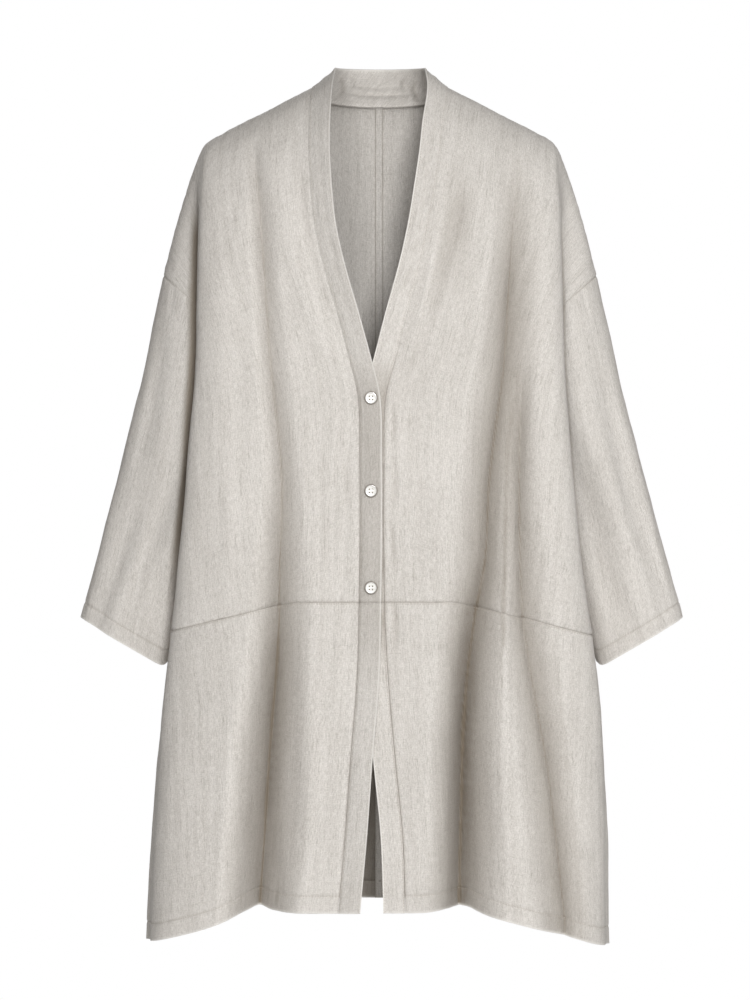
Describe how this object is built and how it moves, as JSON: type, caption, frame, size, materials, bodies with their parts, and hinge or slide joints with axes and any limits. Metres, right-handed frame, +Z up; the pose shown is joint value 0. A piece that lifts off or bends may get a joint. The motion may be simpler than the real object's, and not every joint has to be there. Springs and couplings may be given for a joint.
{
  "type": "linen coat",
  "caption": "Loose hip-flared linen coat, filled out as worn and hollow, with a V-neck band front, dropped shoulders, wide open sleeves and a dipped waist seam.",
  "frame": {"origin": "midway between the two points where the shoulder seams meet the neck band, where a wearer's shoulders hold the coat up", "axes": "+Z up along the coat's length, -Y the way the front faces, +X towards the wearer's left"},
  "size_m": [0.7313, 0.275, 1.0673],
  "materials": {
    "linen": "matte plain weave",
    "shell": "satin pale"
  },
  "bodies": {
    "root": {"neck_band": "linen", "upper_front_left": "linen", "upper_front_right": "linen", "lower_front_left": "linen", "lower_front_right": "linen", "back_left": "linen", "back_right": "linen", "upper_band_left": "linen", "upper_band_right": "linen", "lower_band_left": "linen", "lower_band_right": "linen", "sleeve_left": "linen", "sleeve_right": "linen", "button_1": "shell", "button_2": "shell", "button_3": "shell"}
  },
  "joints": []
}
